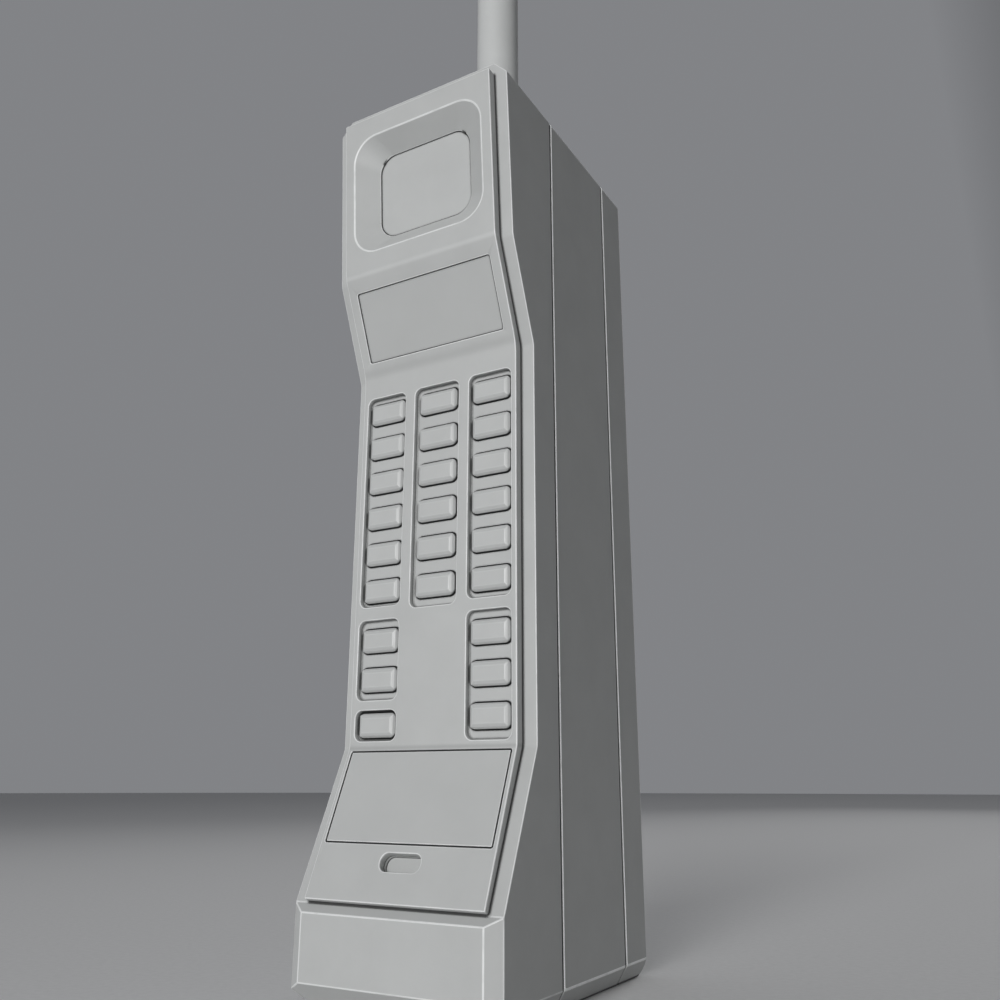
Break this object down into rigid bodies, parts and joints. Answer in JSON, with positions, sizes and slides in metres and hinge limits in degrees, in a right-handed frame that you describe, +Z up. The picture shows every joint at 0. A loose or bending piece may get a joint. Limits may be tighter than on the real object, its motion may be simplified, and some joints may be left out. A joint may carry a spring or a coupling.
{
  "type": "early mobile brick phone",
  "caption": "Tall brick-shaped early mobile phone with an angled face, earpiece dish, push keys, rear battery pack and thick whip antenna.",
  "frame": {"origin": "centre of the underside, half way between the chin and the back of the battery pack", "axes": "+Z up along the antenna, -Y out of the face with the keys, +X to the right of a person looking at the face"},
  "size_m": [0.0604, 0.0844, 0.4028],
  "materials": {
    "shell_plastic": "fine moulded grain",
    "plate_plastic": "fine moulded grain",
    "window_plastic": "smooth satin",
    "label_plastic": "smooth satin",
    "screen_mesh": "fine woven screen",
    "key_plastic": "satin",
    "antenna_plastic": "satin",
    "black_plastic": "matte",
    "rubber": "matte",
    "board": "lacquered",
    "steel": "bright plated",
    "brass": "plated",
    "cell_wrap": "shrink wrap"
  },
  "bodies": {
    "phone": {"front_housing": "shell_plastic", "middle_housing": "shell_plastic", "face_plate": "plate_plastic", "earpiece_cover": "plate_plastic", "display_window": "window_plastic", "label_plate": "label_plastic", "microphone_screen": "screen_mesh", "display_module": "black_plastic", "earpiece_speaker": "black_plastic", "ringer": "black_plastic", "ribbon_cable": "black_plastic", "antenna_cable": "black_plastic", "microphone_boot": "rubber", "keypad_membrane": "rubber", "housing_seal": "rubber", "keypad_board": "board", "logic_board": "board", "radio_board": "board", "microphone": "steel", "keypad_screws": "steel", "radio_shield": "steel", "duplexer": "steel", "board_spacers": "steel", "housing_screws": "steel", "latch_spring": "steel", "antenna_bushing": "brass", "phone_contacts": "brass"},
    "battery_pack": {"battery_case": "shell_plastic", "battery_plate": "shell_plastic", "battery_cells": "cell_wrap", "cell_straps": "steel", "battery_contacts": "brass"},
    "antenna": {"antenna_sleeve": "antenna_plastic", "antenna_core": "brass", "antenna_plug": "brass"},
    "latch": {"latch_button": "key_plastic"},
    "key_left_1": {"key_left_1": "key_plastic"},
    "key_left_2": {"key_left_2": "key_plastic"},
    "key_left_3": {"key_left_3": "key_plastic"},
    "key_left_4": {"key_left_4": "key_plastic"},
    "key_left_5": {"key_left_5": "key_plastic"},
    "key_left_6": {"key_left_6": "key_plastic"},
    "key_left_7": {"key_left_7": "key_plastic"},
    "key_left_8": {"key_left_8": "key_plastic"},
    "key_left_9": {"key_left_9": "key_plastic"},
    "key_middle_1": {"key_middle_1": "key_plastic"},
    "key_middle_2": {"key_middle_2": "key_plastic"},
    "key_middle_3": {"key_middle_3": "key_plastic"},
    "key_middle_4": {"key_middle_4": "key_plastic"},
    "key_middle_5": {"key_middle_5": "key_plastic"},
    "key_middle_6": {"key_middle_6": "key_plastic"},
    "key_right_1": {"key_right_1": "key_plastic"},
    "key_right_2": {"key_right_2": "key_plastic"},
    "key_right_3": {"key_right_3": "key_plastic"},
    "key_right_4": {"key_right_4": "key_plastic"},
    "key_right_5": {"key_right_5": "key_plastic"},
    "key_right_6": {"key_right_6": "key_plastic"},
    "key_right_7": {"key_right_7": "key_plastic"},
    "key_right_8": {"key_right_8": "key_plastic"},
    "key_right_9": {"key_right_9": "key_plastic"}
  },
  "joints": [
    {"name": "battery_slide", "type": "slide", "parent": "phone", "child": "battery_pack", "axis": [0, 0, 1], "range_m": [0, 0.014]},
    {"name": "antenna_turn", "type": "hinge", "parent": "phone", "child": "antenna", "pos_m": [0, 0.0074, 0.2525], "axis": [0, 0, 1], "range_deg": [0, 1080]},
    {"name": "latch_press", "type": "slide", "parent": "phone", "child": "latch", "axis": [0, 0, -1], "range_m": [0, 0.002], "stiffness_N_per_m": 800, "deforming": ["latch_spring"]},
    {"name": "key_left_1_press", "type": "slide", "parent": "phone", "child": "key_left_1", "axis": [0, 1, 0], "range_m": [0, 0.001], "stiffness_N_per_m": 500},
    {"name": "key_left_2_press", "type": "slide", "parent": "phone", "child": "key_left_2", "axis": [0, 1, 0], "range_m": [0, 0.001], "stiffness_N_per_m": 500},
    {"name": "key_left_3_press", "type": "slide", "parent": "phone", "child": "key_left_3", "axis": [0, 1, 0], "range_m": [0, 0.001], "stiffness_N_per_m": 500},
    {"name": "key_left_4_press", "type": "slide", "parent": "phone", "child": "key_left_4", "axis": [0, 1, 0], "range_m": [0, 0.001], "stiffness_N_per_m": 500},
    {"name": "key_left_5_press", "type": "slide", "parent": "phone", "child": "key_left_5", "axis": [0, 1, 0], "range_m": [0, 0.001], "stiffness_N_per_m": 500},
    {"name": "key_left_6_press", "type": "slide", "parent": "phone", "child": "key_left_6", "axis": [0, 1, 0], "range_m": [0, 0.001], "stiffness_N_per_m": 500},
    {"name": "key_left_7_press", "type": "slide", "parent": "phone", "child": "key_left_7", "axis": [0, 1, 0], "range_m": [0, 0.001], "stiffness_N_per_m": 500},
    {"name": "key_left_8_press", "type": "slide", "parent": "phone", "child": "key_left_8", "axis": [0, 1, 0], "range_m": [0, 0.001], "stiffness_N_per_m": 500},
    {"name": "key_left_9_press", "type": "slide", "parent": "phone", "child": "key_left_9", "axis": [0, 1, 0], "range_m": [0, 0.001], "stiffness_N_per_m": 500},
    {"name": "key_middle_1_press", "type": "slide", "parent": "phone", "child": "key_middle_1", "axis": [0, 1, 0], "range_m": [0, 0.001], "stiffness_N_per_m": 500},
    {"name": "key_middle_2_press", "type": "slide", "parent": "phone", "child": "key_middle_2", "axis": [0, 1, 0], "range_m": [0, 0.001], "stiffness_N_per_m": 500},
    {"name": "key_middle_3_press", "type": "slide", "parent": "phone", "child": "key_middle_3", "axis": [0, 1, 0], "range_m": [0, 0.001], "stiffness_N_per_m": 500},
    {"name": "key_middle_4_press", "type": "slide", "parent": "phone", "child": "key_middle_4", "axis": [0, 1, 0], "range_m": [0, 0.001], "stiffness_N_per_m": 500},
    {"name": "key_middle_5_press", "type": "slide", "parent": "phone", "child": "key_middle_5", "axis": [0, 1, 0], "range_m": [0, 0.001], "stiffness_N_per_m": 500},
    {"name": "key_middle_6_press", "type": "slide", "parent": "phone", "child": "key_middle_6", "axis": [0, 1, 0], "range_m": [0, 0.001], "stiffness_N_per_m": 500},
    {"name": "key_right_1_press", "type": "slide", "parent": "phone", "child": "key_right_1", "axis": [0, 1, 0], "range_m": [0, 0.001], "stiffness_N_per_m": 500},
    {"name": "key_right_2_press", "type": "slide", "parent": "phone", "child": "key_right_2", "axis": [0, 1, 0], "range_m": [0, 0.001], "stiffness_N_per_m": 500},
    {"name": "key_right_3_press", "type": "slide", "parent": "phone", "child": "key_right_3", "axis": [0, 1, 0], "range_m": [0, 0.001], "stiffness_N_per_m": 500},
    {"name": "key_right_4_press", "type": "slide", "parent": "phone", "child": "key_right_4", "axis": [0, 1, 0], "range_m": [0, 0.001], "stiffness_N_per_m": 500},
    {"name": "key_right_5_press", "type": "slide", "parent": "phone", "child": "key_right_5", "axis": [0, 1, 0], "range_m": [0, 0.001], "stiffness_N_per_m": 500},
    {"name": "key_right_6_press", "type": "slide", "parent": "phone", "child": "key_right_6", "axis": [0, 1, 0], "range_m": [0, 0.001], "stiffness_N_per_m": 500},
    {"name": "key_right_7_press", "type": "slide", "parent": "phone", "child": "key_right_7", "axis": [0, 1, 0], "range_m": [0, 0.001], "stiffness_N_per_m": 500},
    {"name": "key_right_8_press", "type": "slide", "parent": "phone", "child": "key_right_8", "axis": [0, 1, 0], "range_m": [0, 0.001], "stiffness_N_per_m": 500},
    {"name": "key_right_9_press", "type": "slide", "parent": "phone", "child": "key_right_9", "axis": [0, 1, 0], "range_m": [0, 0.001], "stiffness_N_per_m": 500}
  ]
}
